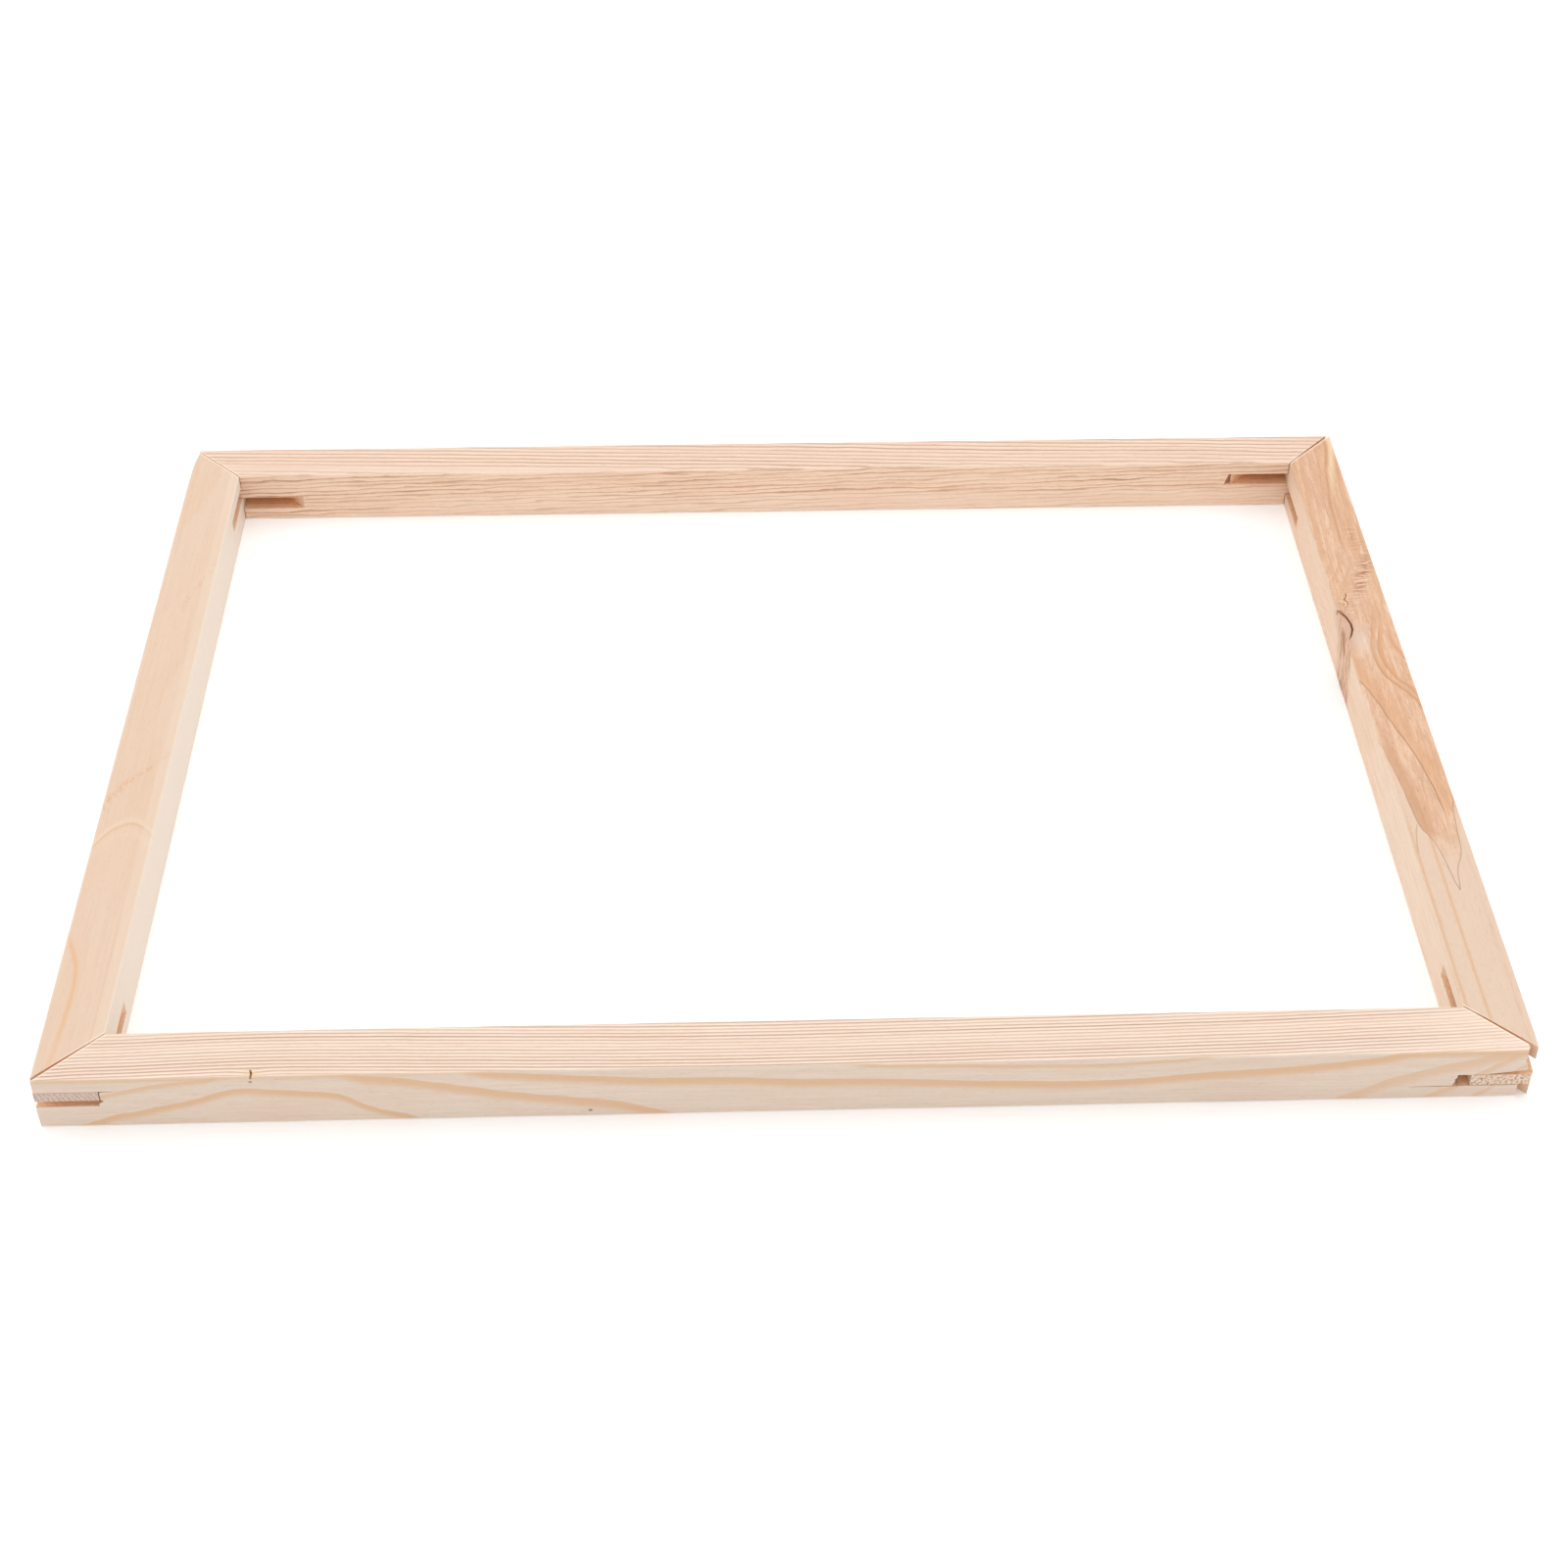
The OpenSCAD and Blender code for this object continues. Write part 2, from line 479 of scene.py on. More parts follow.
frontBar = {
    "turn": 0,
    "slot": "front_pine",
    "arris": 0.42,
    "cutEdge": 0.14,
    "seed": 1.3,
    "ringEvery": 1.22,  # mm across the top
    "faceRise": 5.2,  # mm of height for one ring on the inner face
    # how one line of the top wanders, mm along and mm across
    "wander": [(0, 7.2), (10, 7.8), (30, 8.3), (57, 9.1), (80, 8.8), (100, 8.25), (125, 7.5), (150, 6.8),
               (175, 6.4), (200, 6.3), (225, 6.5), (250, 6.8), (300, 7.5), (335, 8.3), (350, 8.9), (380, 10),
               (400, 11)],
    # rings that the outer face meets: depth of the band, its share, then mm along and mm up
    "contours": [
        (1.8, 0.8, [(14, 10.9), (20, 12.4), (25, 13.7), (30, 15.0), (35, 15.9), (40, 16.5), (46, 17.4),
                    (54, 20)]),
        (2.5, 1.0, [(0, -3), (10, 0), (13, 1.2), (20, 3.9), (25, 5.0), (30, 6.4), (35, 7.7), (40, 8.9),
                    (45, 10.6), (50, 12.4), (55, 13.2), (60, 12.8), (70, 11.9), (76, 11.3), (80, 10.4),
                    (83, 8.8), (86, 6.6), (90, 4.4), (95, 2.8), (98, 1.7), (103, -1), (110, -4)]),
        (3.5, 0.95, [(80, 20), (86, 17.6), (90, 16.9), (95, 16.4), (100, 15.4), (105, 14.3), (110, 13.2),
                     (120, 11.0), (130, 9.2), (140, 7.7), (150, 6.2), (155, 5.1), (160, 3.4), (165, 1.7),
                     (169, 0), (176, -3)]),
        (3.1, 1.0, [(112, 20), (120, 18), (125, 17.3), (130, 16.8), (140, 15.9), (150, 15.2), (160, 14.3),
                    (170, 14.0), (180, 13.9), (190, 13.4), (200, 12.6), (210, 12.4), (220, 12.1),
                    (230, 11.7), (240, 11.1), (250, 10.3), (260, 10.0), (270, 9.6), (280, 9.5), (290, 9.9),
                    (300, 10.8), (310, 11.8), (320, 12.3), (330, 13.0), (340, 14.0), (350, 15.3),
                    (358, 16.6), (366, 18.5)]),
        (1.4, 0.85, [(205, 20), (222, 17.6), (235, 17.1), (250, 16.7), (262, 16.3), (275, 16.0),
                     (285, 16.1), (297, 16.8), (305, 17.4), (320, 20)]),
        (4.0, 0.65, [(340, -3), (346, 0), (350, 2.2), (355, 4.6), (360, 7.6), (366, 9.6), (370, 11.2),
                     (375, 12.8), (385, 15.5), (392, 18), (396, 20)]),
        (2.6, 0.65, [(364, -3), (371, 0.5), (375, 3.0), (379, 5.0), (383, 8.5), (388, 12), (393, 15.5),
                     (397, 18.5)]),
        (2.0, 0.6, [(380, -3), (384, 0.5), (389, 4.5), (393, 8.8), (397, 12.5)]),
    ],
    "pinKnot": 57.6,  # mm along
    "smudge": ((64.0, 4.0), (17.0, 7.0)),  # place and reach on the outer face
    "dots": [((57.4, 15.7), 0.32), ((146.2, 2.1), 0.36)],  # place and size on the outer face
    # painted shade: the whole outer face is darkened and greyed for the grazing light it gets
    "outerFaceShade": (0.825, 0.84, 0.85, 1),
    "smudgeColour": (0.78, 0.58, 0.45, 1),
    "contourColour": (0.745, 0.485, 0.30, 1),
    "pinColour": (0.84, 0.62, 0.34, 1),
    "dotColour": (0.14, 0.08, 0.05, 1),
    # each cut: its outline in mm, from where to where it goes, and "uz" where it is drawn on the outer face
    "cuts": [
        ([(396.6, -1), (402, -1), (402, 18), (385, 18), (396.0, 5.0), (397.2, 3.0), (397.5, 1.4),
          (397.0, 0.3)], 13.1, 19),  # rounded tip of the top leaf
        ([(396.2, -1), (402, -1), (402, 18), (396.2, 18)], -1, 4.5),  # shorter bottom leaf
        ([(398.9, 7), (402, 7), (402, 14), (397.2, 14), (397.6, 11.4)], -1, 18, "uz"),  # worn tongue
        ([(387, 8.5), (399.5, 8.5), (399.5, 10.4), (392, 9.5), (388, 9.1)], -1, 8, "uz"),  # torn underneath
        ([(-1, -1), (16.4, -1), (17.4, 1.4), (16.6, 3.0), (17.6, 6.0), (18, 18), (-1, 18)],
         7.7, 8.9),  # slot cut a little deep
        ([(16.5, 12.7), (16.5, 13.2), (21.5, 13.15)], -1, 3, "uz"),  # split running on from the slot
        ([(16.6, 8.9), (16.6, 10.6), (18.3, 9.4)], -1, 3, "uz"),  # torn corner of the slot
        ([(379.8, 4.4), (378.0, 4.4), (378.9, 6.4), (378.6, 7.0), (379.8, 8.3)],
         -1, 5, "uz"),  # ragged end of the right-hand slot
        ([(366.5, 4.46), (380, 4.36), (380, 4.72), (366.5, 4.58)], -1, 3, "uz"),  # saw overrun
        ([(57.1, -1), (57.5, 0.9), (57.1, 2.5), (57.6, 2.6), (58.1, 1.0), (57.8, -1)], 16.9, 19),  # pin knot
    ],
    "wood": {
        "early": (0.96, 0.785, 0.65, 1),
        "late": (0.50, 0.325, 0.235, 1),
        "lateShare": 1.0,
        "lateFrom": 0.36,
        "accent": 0.25,
        "tone": (0.86, 0.62, 0.47, 1),
        "toneShare": 0.15,
        "pores": 0.18,
        "relief": 0.7,
        "seed": 3.1,
        "crack": (57.6, 1.5),
        "endDark": (0.40, 0.26, 0.19, 1),
    },
}


def frontFigure(sheet, u, v, z, waver, drift):
    s = frontBar
    face = 1 - sheet.smooth(v, 0.05, 0.4)
    line = sheet.drawn(u, longBar, s["wander"])
    rings = (v - line) / s["ringEvery"] + (z - barHigh) / s["faceRise"] + 43.56 + waver * 0.22 + drift * 0.3
    # they bend round the pin knot
    rings = rings + sheet.spot(u, v, (s["pinKnot"], 1.4), (4.0, 1.8)) * (1 - face) * 0.5
    # the lines soften towards the right end, and the outer face shows only its drawn contours
    strength = (1 - sheet.smooth(u, 350.0, 398.0) * 0.5) * (1 - face) * (1 - sheet.innerFace(v) * 0.5)
    stains = [
        # painted shade over the whole outer face
        (face, s["outerFaceShade"], "MULTIPLY"),
        (sheet.spot(u, z, *s["smudge"]) * face * 0.35, s["smudgeColour"]),
    ]
    lift = z + waver * 0.7
    for depth, share, points in s["contours"]:
        band = sheet.under(sheet.drawn(u, longBar, points), lift, depth)
        stains.append((band * face * share, s["contourColour"]))
    pin = sheet.spot(u, v, (s["pinKnot"], 1.2), (2.0, 1.4)) * (1 - face)
    stains.append((pin * 0.7, s["pinColour"]))
    for place, size in s["dots"]:
        dot = sheet.spot(u, z, place, (size * 1.4, size)) * face
        stains.append((dot, s["dotColour"]))
    return rings, strength, stains


makeBar("front_bar", frontBar, frontFigure)

rightBar = {
    "turn": 90,
    "slot": "right_pine",
    "arris": 0.7,
    "cutEdge": 0.14,
    "seed": 7.9,
    "ringEvery": 2.2,  # mm down through the bar
    "stripeEvery": 3.0,  # mm across, at the far end
    "stripeLean": 0.022,  # stripes passed for each mm along
    # lines where rings cross the top, mm along and mm across
    "tipInner": [(63, 7.2), (66, 7.8), (70, 8.2), (75, 8.7), (80, 9.4), (84, 10.2), (87, 11.2), (88.5, 12.3),
                 (92, 13.1), (100, 13.8), (110, 14.5), (120, 15.7), (128, 16.7), (136, 18.5)],
    "tipOuter": [(63, 7.2), (66, 6.7), (70, 6.3), (74, 5.2), (77, 3.9), (80, 3.0), (90, 2.3), (100, 1.0),
                 (112, -1.5)],
    "hook": [(78, 15.8), (84, 15.2), (89, 14.4), (92, 13.4)],
    "endLine": [(226, 8.6), (250, 7.9), (260, 7.3), (280, 5.0), (292, 2.8)],
    "lines": [  # depth of the band below, its share, share of the thin stroke, and the line
        (5.5, 0.5, 0.8, [(93, 4.2), (100, 4.6), (110, 5.3), (120, 6.7), (125, 7.7), (130, 8.9), (135, 10.3),
                         (140, 11.6), (150, 13.8), (157, 15.9), (164, 18.5)]),
        (1.4, 1.0, 0.5, [(138, -2), (146, 0.4), (150, 1.6), (155, 4.3), (160, 7.7), (165, 9.3), (170, 10.1),
                         (176, 10.0), (182, 8.8), (190, 7.0), (200, 6.0)]),
        (1.6, 1.0, 0.35, [(144, -2), (152, 0.4), (157, 2.7), (160, 5.2), (165, 6.8), (170, 7.7), (176, 7.8),
                          (184, 6.0), (192, 4.6), (200, 4.0)]),
        (1.6, 0.9, 0.0, [(162, -2), (170, 0.5), (175, 2.1), (180, 3.3), (188, 2.8), (196, 2.4)]),
    ],
    "knot": ((188.0, 16.6, 17.0), (11.0, 4.2, 5.0)),  # place and reach: along, across and up
    # marks of the top: place and reach, mm along and mm across
    "rippleMarks": (216.0, 13.0),  # along only
    "fuzz": ((238.0, 4.0), (9.0, 1.8)),
    "palePatch": ((180.0, 12.6), (8.5, 3.4)),
    "crazedPatch": ((199.0, 13.0), (7.0, 3.0)),
    "plainColour": (0.77, 0.585, 0.455, 1),
    "warmColour": (0.80, 0.56, 0.38, 1),
    "innerColour": (0.83, 0.675, 0.53, 1),
    "innerFine": (0.71, 0.49, 0.345, 1),
    "mottleColour": (0.68, 0.41, 0.26, 1),
    "edgeStreakColour": (0.62, 0.34, 0.19, 1),
    "stripeColour": (0.72, 0.44, 0.26, 1),
    "sideStripeColour": (0.72, 0.45, 0.28, 1),
    "outerStreakColour": (0.72, 0.47, 0.31, 1),
    "paleEndColour": (0.93, 0.73, 0.49, 1),
    "endLineColour": (0.60, 0.31, 0.16, 1),
    "bandColour": (0.70, 0.37, 0.19, 1),
    "bandStroke": (0.42, 0.22, 0.12, 1),
    "knotColour": (0.58, 0.34, 0.25, 1),
    "bruise": (0.72, 0.46, 0.29, 1),
    "bruiseStreaks": (0.42, 0.18, 0.085, 1),
    "bruiseDark": (0.20, 0.075, 0.04, 1),
    "paleColour": (0.80, 0.66, 0.56, 1),
    "crazedPale": (0.92, 0.70, 0.50, 1),
    "crazedDark": (0.45, 0.21, 0.11, 1),
    # painted highlight between the ripple marks
    "rippleHighlight": (0.90, 0.67, 0.51, 1),
    "rippleColour": (0.48, 0.21, 0.11, 1),
    "tipStroke": (0.40, 0.25, 0.17, 1),
    "hookStroke": (0.46, 0.29, 0.19, 1),
    "cuts": [
        ([(-1, -1), (6, -1), (6, 0), (0.8, 0.25), (0.35, 0.8), (-1, 1.2)], -1, 19),  # worn front corner
        ([(-1, -1), (0.95, -1), (0.95, 0), (12.7, 12), (17.1, 17), (17.1, 18), (-1, 18)],
         13.1, 19),  # open mitre
        ([(197.4, 17.6), (196.2, 15.9), (193.2, 14.5), (189.2, 13.6), (186.0, 13.7), (183.0, 14.7),
          (180.6, 16.2), (183.4, 15.2), (186.4, 14.4), (189.0, 14.3), (192.4, 15.1), (195.0, 16.5),
          (196.0, 17.6)], 16.2, 19),  # curl of the crack round the knot
        ([(199.0, 13.1), (200.6, 12.6), (202.3, 13.3), (204.6, 12.3), (206.4, 12.5), (204.4, 12.75),
          (202.4, 13.8), (200.7, 13.0)], 17.2, 19),  # small tear beyond it
        ([(181.0, 17.6), (176.0, 17.6), (170.0, 17.2), (176.0, 16.9)], 16.9, 19),  # dent of the inner arris
    ],
    "wood": {
        "early": (0.86, 0.605, 0.43, 1),
        "late": (0.73, 0.45, 0.285, 1),
        "lateShare": 0.85,
        "lateFrom": 0.1,
        "accent": 0.35,
        "paleArris": 0.1,
        "tone": (0.78, 0.49, 0.33, 1),
        "toneShare": 0.45,
        "crack": (190.0, 14.0),
        "streaks": 0.8,
        "pores": 0.85,
        "relief": 0.9,
        "seed": 11.7,
        "endGrain": (0.84, 0.65, 0.51, 1),
        "endDark": (0.46, 0.28, 0.18, 1),
        "endSpeckle": 0.95,
        "endArcs": 0.1,
        "grainSize": 0.85,
    },
}


def rightFigure(sheet, u, v, z, waver, drift):
    s = rightBar
    onTop = sheet.smooth(z, 16.8, 17.5)
    inner = sheet.innerFace(v)
    ragged = sheet.noise(sheet.vector(u / 7, v / 2.2, z / 2.2), 3.0) - 0.5
    across = v + ragged * 0.5 + waver * 0.4
    beyond = sheet.smooth(u, 196.0, 226.0)
    stripes = (v + drift * 3.0) / s["stripeEvery"] + (u - 260.0) * s["stripeLean"]
    rings = stripes * beyond + (z - barHigh) / s["ringEvery"] + 60.12 + waver * 0.6
    tipInner = sheet.drawn(u, shortBar, s["tipInner"])
    tipOuter = sheet.drawn(u, shortBar, s["tipOuter"])

    # inside the tongue-shaped figure the wood is redder, and plain outside it
    within = sheet.smooth(tipInner - across, -0.12, 0.1) * sheet.smooth(across - tipOuter, -0.12, 0.1)
    within = within * sheet.smooth(u, 63.5, 66.0) * onTop
    reddened = within * sheet.smooth(u, 68.0, 94.0)
    edgeStreak = sheet.under(tipInner, across, 4.0) * sheet.span(u, (84.0, 89.0), (118.0, 136.0)) * onTop
    plain = (1 - sheet.smooth(u - v + ragged * 24.0, 83.0, 126.0)) * (1 - reddened)
    mottle = sheet.smooth(sheet.noise(sheet.vector(u / 9, v / 1.3, z / 1.3), 3.0, 0.6), 0.42, 0.62)
    tipLine = sheet.bell(tipInner - across, 0.0, 0.16) + sheet.bell(across - tipOuter, 0.0, 0.16)
    tipLine = tipLine * sheet.span(u, (62.8, 63.6), (92.0, 126.0), 0.5)
    hook = sheet.bell(sheet.drawn(u, shortBar, s["hook"]) - across, 0.0, 0.16)
    hook = hook * sheet.span(u, (78.0, 80.0), (91.0, 92.5))

    # the rings close round the knot
    du, dv, dz = ((a - centre) / reach for a, centre, reach in zip((u, v, z), *s["knot"]))
    far = sheet.maths("SQRT", du * du + dv * dv + dz * dz) + ragged * 0.5
    rings = rings + sheet.bell(far, 0.0, 1.5) * 3.2
    strength = (1 - plain * 0.9) * (1 - onTop * (1 - beyond) * 0.75)

    # ripple marks and fuzz beyond the knot, and stripes along the plain part; the ground under the ripple
    # marks is a painted highlight for their relief
    markAt, markReach = s["rippleMarks"]
    marks = sheet.noise(sheet.vector(u / 0.75 + v * 0.15, v / 5, z / 5), 1.0, 0.5, 0.5)
    leaning = v + (u - markAt) * 0.34 + ragged * 1.5
    where = sheet.spot(u, leaning, (markAt, 4.8), (markReach, 2.5)) * onTop
    fuzz = sheet.spot(u, v, *s["fuzz"]) * onTop * 0.4
    stripe = sheet.bell(v + drift * 1.5, 10.7, 0.45) * plain * onTop
    sideStripe = sheet.bell(v + waver * 0.4, 16.1, 0.5) * (1 - sheet.smooth(u, 80.0, 110.0)) * onTop
    outerStreak = sheet.bell(v + waver, 1.9, 0.5) * mottle * plain * onTop

    # bruised, streaky wood runs down the inner face from under the knot
    lean = u - z * 0.38 + ragged * 1.6
    streaky = sheet.noise(sheet.vector(lean / 1.3, z / 11, v), 2.0, 0.6)
    shade = sheet.span(lean, (165.0, 171.0), (182.0, 188.0)) * inner
    dark = sheet.bell(lean, 180.2, 2.6) * (1.15 - sheet.smooth(z, 1.5, 12.0)) * inner
    fine = sheet.smooth(sheet.noise(sheet.vector(u / 22, v, z * 1.7 + waver * 2), 2.0, 0.6), 0.50, 0.62)

    # around the knot the top is paler and crazed, and the far end has a pale edge behind a dark line
    pale = sheet.spot(u, v, *s["palePatch"]) * onTop
    crazed = sheet.noise(sheet.vector(u / 1.3, v / 1.1, z / 1.1), 3.0, 0.6, 1.5)
    crazedArea = sheet.spot(u, v, *s["crazedPatch"]) * onTop
    outside = sheet.drawn(u, shortBar, s["endLine"]) - v - waver
    paleEnd = sheet.bell(outside, 1.7, 1.0) * sheet.smooth(u, 256.0, 280.0) * onTop
    endLine = sheet.bell(outside, 0.0, 0.55) * sheet.smooth(u, 226.0, 240.0) * onTop
    warm = sheet.bell(u, 125.0, 45.0) * (1 - reddened) * onTop
    stains = [
        (plain * 0.9, s["plainColour"]),
        (warm * 0.35, s["warmColour"]),
        (inner * 0.6, s["innerColour"]),
        (inner * fine * 0.65, s["innerFine"]),
        (reddened * mottle * 0.75, s["mottleColour"]),
        (edgeStreak * 0.75, s["edgeStreakColour"]),
        (stripe * 0.8, s["stripeColour"]),
        (sideStripe * 0.85, s["sideStripeColour"]),
        (outerStreak * 0.5, s["outerStreakColour"]),
        (paleEnd * 0.75, s["paleEndColour"]),
        (endLine * 0.8, s["endLineColour"]),
    ]
    fade = onTop * sheet.span(u, (93.0, 101.0), (176.0, 202.0), 0.75)
    for depth, share, stroke, points in s["lines"]:
        line = sheet.drawn(u, shortBar, points)
        stains.append((sheet.under(line, across, depth) * fade * share, s["bandColour"]))
        stains.append((sheet.bell(line - across, 0.05, 0.24) * fade * stroke, s["bandStroke"]))
    stains += [
        ((1 - sheet.smooth(far, 0.4, 1.6)) * 0.55, s["knotColour"]),
        (shade * 0.6, s["bruise"]),
        (shade * sheet.smooth(streaky, 0.46, 0.55) * 0.9, s["bruiseStreaks"]),
        (dark * sheet.smooth(streaky, 0.38, 0.50), s["bruiseDark"]),
        (pale * 0.5, s["paleColour"]),
        (sheet.smooth(crazed, 0.52, 0.40) * crazedArea * 0.5, s["crazedPale"]),
        (sheet.bell(crazed, 0.55, 0.035) * crazedArea * 0.9, s["crazedDark"]),
        (where * 0.5, s["rippleHighlight"]),
        (sheet.smooth(marks, 0.46, 0.53) * (where + fuzz), s["rippleColour"]),
        (tipLine * onTop * 0.8, s["tipStroke"]),
        (hook * onTop * 0.7, s["hookStroke"]),
    ]
    return rings, strength, stains


makeBar("right_bar", rightBar, rightFigure)

backBar = {
    "turn": 180,
    "slot": "back_pine",
    "arris": 0.42,
    "cutEdge": 0.14,
    "seed": 4.2,
    "ringEvery": 1.32,  # mm through the rings
    "ringTurn": 55.0,  # degrees, across the bar towards the top
    "ringDrift": 0.018,  # rings passed for each mm along
    "quietColour": (0.84, 0.64, 0.53, 1),
    "innerShade": (0.995, 0.945, 0.88, 1),
    "lowerColour": (0.88, 0.69, 0.55, 1),
    "cuts": [
        ([(-1, -1), (1.2, -1), (1.2, 0), (8.7, 8), (17.15, 17), (17.15, 18), (-1, 18)],
         13.1, 19),  # open mitre
        ([(37.0, 8.8), (39.4, 8.8), (38.1, 13.1), (37.0, 13.1)], 14, 18, "uz"),  # where the saw ran out
        ([(398.7, -1), (402, -1), (402, 3), (399.2, 1.2), (398.7, 0.4)], -1, 19),  # blunted tip
    ],
    "wood": {
        "early": (0.915, 0.72, 0.59, 1),
        "late": (0.48, 0.27, 0.15, 1),
        "lateShare": 1.0,
        "lateFrom": 0.48,
        "tone": (0.84, 0.60, 0.46, 1),
        "toneShare": 0.35,
        "streaks": 0.45,
        "relief": 0.7,
        "seed": 23.4,
    },
}


def backFigure(sheet, u, v, z, waver, drift):
    s = backBar
    turn = math.radians(s["ringTurn"])
    across = v * math.cos(turn) + z * math.sin(turn)
    inner = sheet.smooth(v, 13.0, 17.0)
    innerFace = sheet.innerFace(v)
    flame = sheet.noise(sheet.vector(u / 17, v / 8, z / 2.2), 3.0) - 0.5
    rings = across / s["ringEvery"] + u * s["ringDrift"] + 30.0
    rings = rings + waver * 0.5 + drift * 1.1 + flame * inner * 1.7
    # a band of quiet wood along the top, and patches of it on the inner face
    quiet = sheet.bell(across + u * s["ringDrift"] * s["ringEvery"], 30.2, 1.3) * (1 - innerFace)
    patchy = sheet.noise(sheet.vector(u / 40, v / 5, z / 2.5), 1.0)
    strength = (1 - quiet * 0.8) * (1 - inner * sheet.smooth(patchy, 0.42, 0.62) * 0.45)
    # the inner face is amber above and paler below
    lower = innerFace * (1 - sheet.smooth(z + waver * 2, 6.5, 8.0)) * (1 - sheet.smooth(u, 300.0, 360.0))
    stains = [
        (quiet * 0.35, s["quietColour"]),
        (innerFace, s["innerShade"], "MULTIPLY"),
        (lower * 0.4, s["lowerColour"]),
    ]
    return rings, strength, stains


makeBar("back_bar", backBar, backFigure)

leftBar = {
    "turn": 270,
    "slot": "left_pine",
    "arris": 0.42,
    "cutEdge": 0.14,
    "seed": 2.6,
    "ringEvery": 2.6,  # mm down through the bar
    "blush": ((212.0, 4.0), (16.0, 3.5)),  # place and reach on the top
    "blushColour": (0.80, 0.54, 0.39, 1),
    "arcColour": (0.73, 0.46, 0.28, 1),
    "glowColour": (0.87, 0.71, 0.53, 1),
    "outerStreakColour": (0.76, 0.50, 0.33, 1),
    "resinColour": (0.78, 0.46, 0.25, 1),
    "innerColour": (0.83, 0.65, 0.51, 1),
    "edgeLineColour": (0.76, 0.50, 0.34, 1),
    "innerFaceColour": (0.75, 0.665, 0.58, 1),
    # drawn lines of the top, mm along and mm across
    "resin": [(240, 0.6), (246, 1.2), (249, 1.7), (251, 2.6), (254, 3.6), (258, 4.6), (262, 5.1), (270, 5.4),
              (280, 5.0), (290, 4.4), (300, 3.8)],
    "archB": [(160, 17.4), (163, 16.6), (170, 13.8), (175, 9.9), (178, 6.6), (185, 2.7), (191, 0.4)],
    "archC": [(60, 17.6), (65, 16.6), (75, 14.7), (82, 11.9), (88, 9.9), (94, 9.0)],
    "cuts": [
        ([(-1, -1), (18, -1), (18, 0), (13, 0.14), (9, 0.36), (6, 0.65), (4, 0.95), (2.6, 1.3), (1.6, 1.8),
          (1.0, 2.6), (-1, 4)], -1, 19),  # rounded far corner
        ([(299.3, -1), (301, -1), (301, 3), (285, 18), (282.95, 17.0), (298.9, 0)], 13.1, 19),  # top mitre
        ([(281, 8.8), (302, 8.8), (302, 9.75), (290, 9.6), (281, 9.55)], -1, 19, "uz"),  # thin tongue
    ],
    "wood": {
        "early": (0.79, 0.60, 0.46, 1),
        "late": (0.77, 0.55, 0.395, 1),
        "lateShare": 0.6,
        "lateFrom": 0.1,
        "tone": (0.79, 0.58, 0.435, 1),
        "toneShare": 0.5,
        "streaks": 0.18,
        "pores": 0.16,
        "relief": 0.5,
        "seed": 31.9,
        "endGrain": (0.68, 0.52, 0.43, 1),
        "endDark": (0.40, 0.28, 0.23, 1),
        "endSpeckle": 0.25,
        "endArcs": 0.6,
    },
}


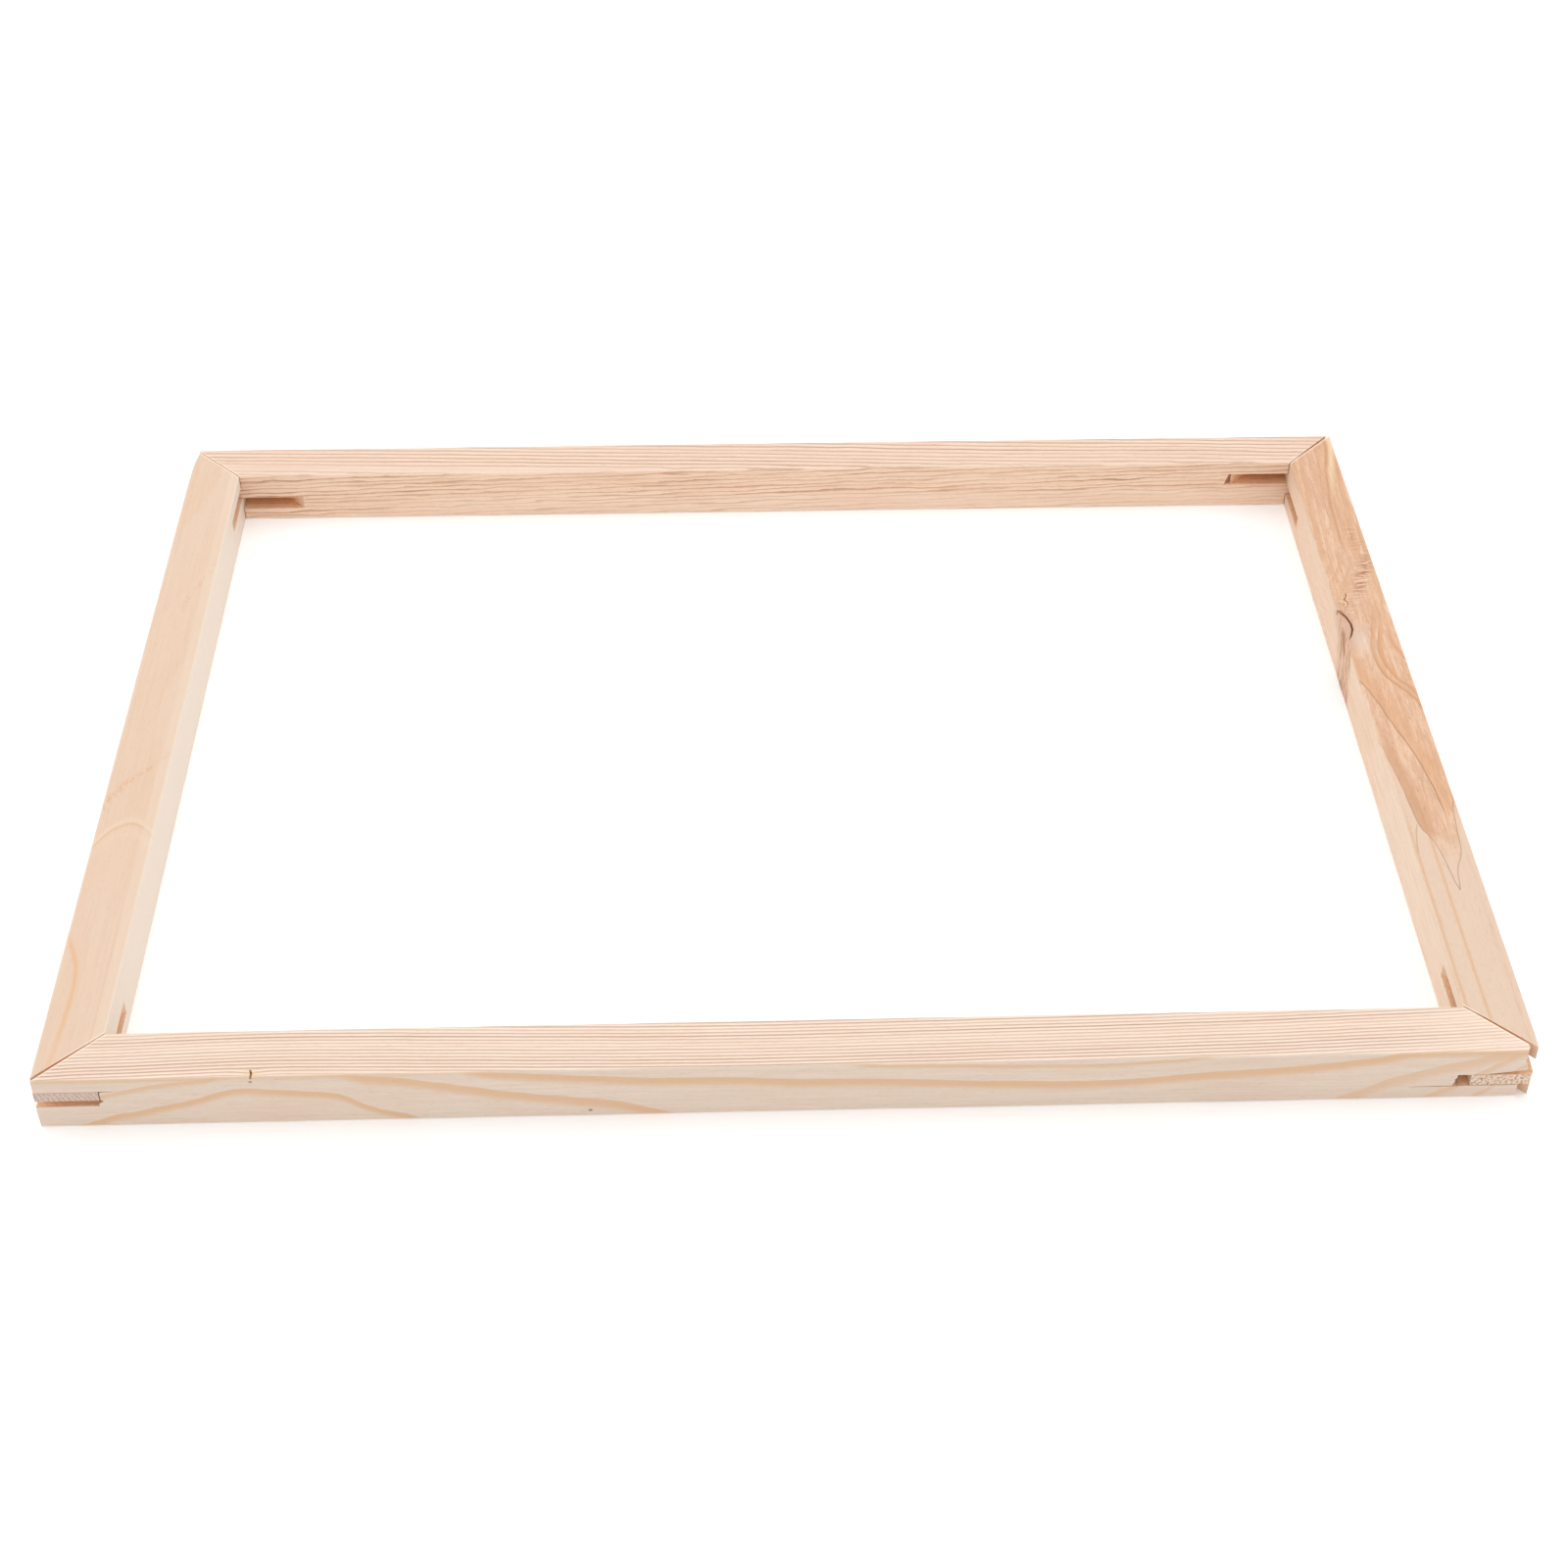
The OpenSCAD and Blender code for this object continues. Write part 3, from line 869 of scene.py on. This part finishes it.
def leftFigure(sheet, u, v, z, waver, drift):
    s = leftBar
    onTop = sheet.smooth(z, 17.0, 17.6)
    bow = sheet.bell(u, 150.0, 80.0) * 1.6 + u * 0.004
    rings = (z - barHigh) / s["ringEvery"] + bow + v * 0.05 + 50.3 + waver * 0.12 + drift * 0.8
    inner = sheet.smooth(v, 13.4, 14.2)
    edgeLine = sheet.bell(v + waver * 0.3, 13.4, 0.25) * sheet.smooth(u, 225.0, 260.0)
    # one resinous line bends in from the outer arris near the front
    resin = sheet.bell(sheet.drawn(u, shortBar, s["resin"]) - v - waver * 0.5, 0.0, 0.7)
    resin = resin * sheet.span(u, (242.0, 250.0), (277.0, 290.0), 0.5) * onTop
    # faint arcs where a ring just reaches the top
    blotch = sheet.smooth(sheet.noise(sheet.vector(u / 1.6, v / 1.3, z), 3.0, 0.6), 0.40, 0.60)
    archA = u - 198.2 - (v - 9.6) * (v - 9.6) * 0.115 + waver * 2.5
    archB = sheet.drawn(u, shortBar, s["archB"]) - v + waver * 2.0
    archC = sheet.drawn(u, shortBar, s["archC"]) - v + waver * 2.0
    arcs = sheet.bell(archA, 0.0, 0.6) * 0.9
    arcs = arcs + sheet.bell(archB, 0.0, 1.2) * blotch * sheet.span(u, (162.0, 168.0), (190.0, 194.0))
    arcs = arcs + sheet.bell(archC, 0.0, 0.9) * blotch * sheet.span(u, (64.0, 70.0), (92.0, 96.0)) * 0.7
    glow = sheet.bell(archA, -1.6, 1.2) + sheet.bell(archA, 4.0, 2.0) * 0.4
    outerStreak = sheet.bell(v + waver, 2.2, 0.5) * blotch * (1 - sheet.smooth(u, 58.0, 66.0))
    stains = [
        (sheet.spot(u, v, *s["blush"]) * 0.35, s["blushColour"]),
        (arcs * onTop * 0.85, s["arcColour"]),
        (glow * onTop * 0.35, s["glowColour"]),
        (outerStreak * onTop * 0.5, s["outerStreakColour"]),
        (resin * 0.75, s["resinColour"]),
        (inner * 0.45, s["innerColour"]),
        (edgeLine * 0.6, s["edgeLineColour"]),
        (sheet.innerFace(v) * 0.75, s["innerFaceColour"]),
    ]
    return rings, 1.0, stains


makeBar("left_bar", leftBar, leftFigure)

studio = {
    "floor": (0.92, 0.92, 0.92, 1),
    "floorRoughness": 0.9,
    "floorGlow": 0.22,
    "floorReach": 60.0,  # metres
    "floorDrop": 0.1,  # mm below the bars
    "world": (1.0, 1.0, 1.0, 1),
    "worldStrength": 0.78,
    "lights": (  # name, place, side in metres, watts
        ("topLight", (-0.2, 0.5, 1.7), 1.8, 8.3),
        ("rightLight", (1.5, 0.1, 0.8), 1.2, 6.0),
        ("leftLight", (-1.5, 0.2, 0.8), 1.2, 4.5),
    ),
}


def makeStudio(s):
    bpy.context.scene.view_settings.view_transform = "Standard"
    sheet = Sheet("paleFloor")
    surface = sheet.node("ShaderNodeBsdfPrincipled", {},
                         {"Base Color": s["floor"], "Roughness": s["floorRoughness"],
                          "Emission Color": s["floor"], "Emission Strength": s["floorGlow"]})
    sheet.finish(surface)
    half, drop = s["floorReach"], -s["floorDrop"] * mm
    mesh = bpy.data.meshes.new("floor")
    corners = [(-half, -half, drop), (half, -half, drop), (half, half, drop), (-half, half, drop)]
    mesh.from_pydata(corners, [], [(0, 1, 2, 3)])
    floor = bpy.data.objects.new("floor", mesh)
    mesh.materials.append(sheet.material)
    bpy.context.scene.collection.objects.link(floor)
    world = bpy.data.worlds.new("studioWorld")
    world.use_nodes = True
    sky = world.node_tree.nodes["Background"].inputs
    sky["Color"].default_value = s["world"]
    sky["Strength"].default_value = s["worldStrength"]
    bpy.context.scene.world = world
    for name, place, side, power in s["lights"]:
        lamp = bpy.data.lights.new(name, "AREA")
        lamp.shape, lamp.size, lamp.energy = "SQUARE", side, power
        light = bpy.data.objects.new(name, lamp)
        light.location = place
        light.rotation_mode = "QUATERNION"
        light.rotation_quaternion = (-Vector(place)).to_track_quat("-Z", "Y")
        bpy.context.scene.collection.objects.link(light)


makeStudio(studio)
print("studio lit")
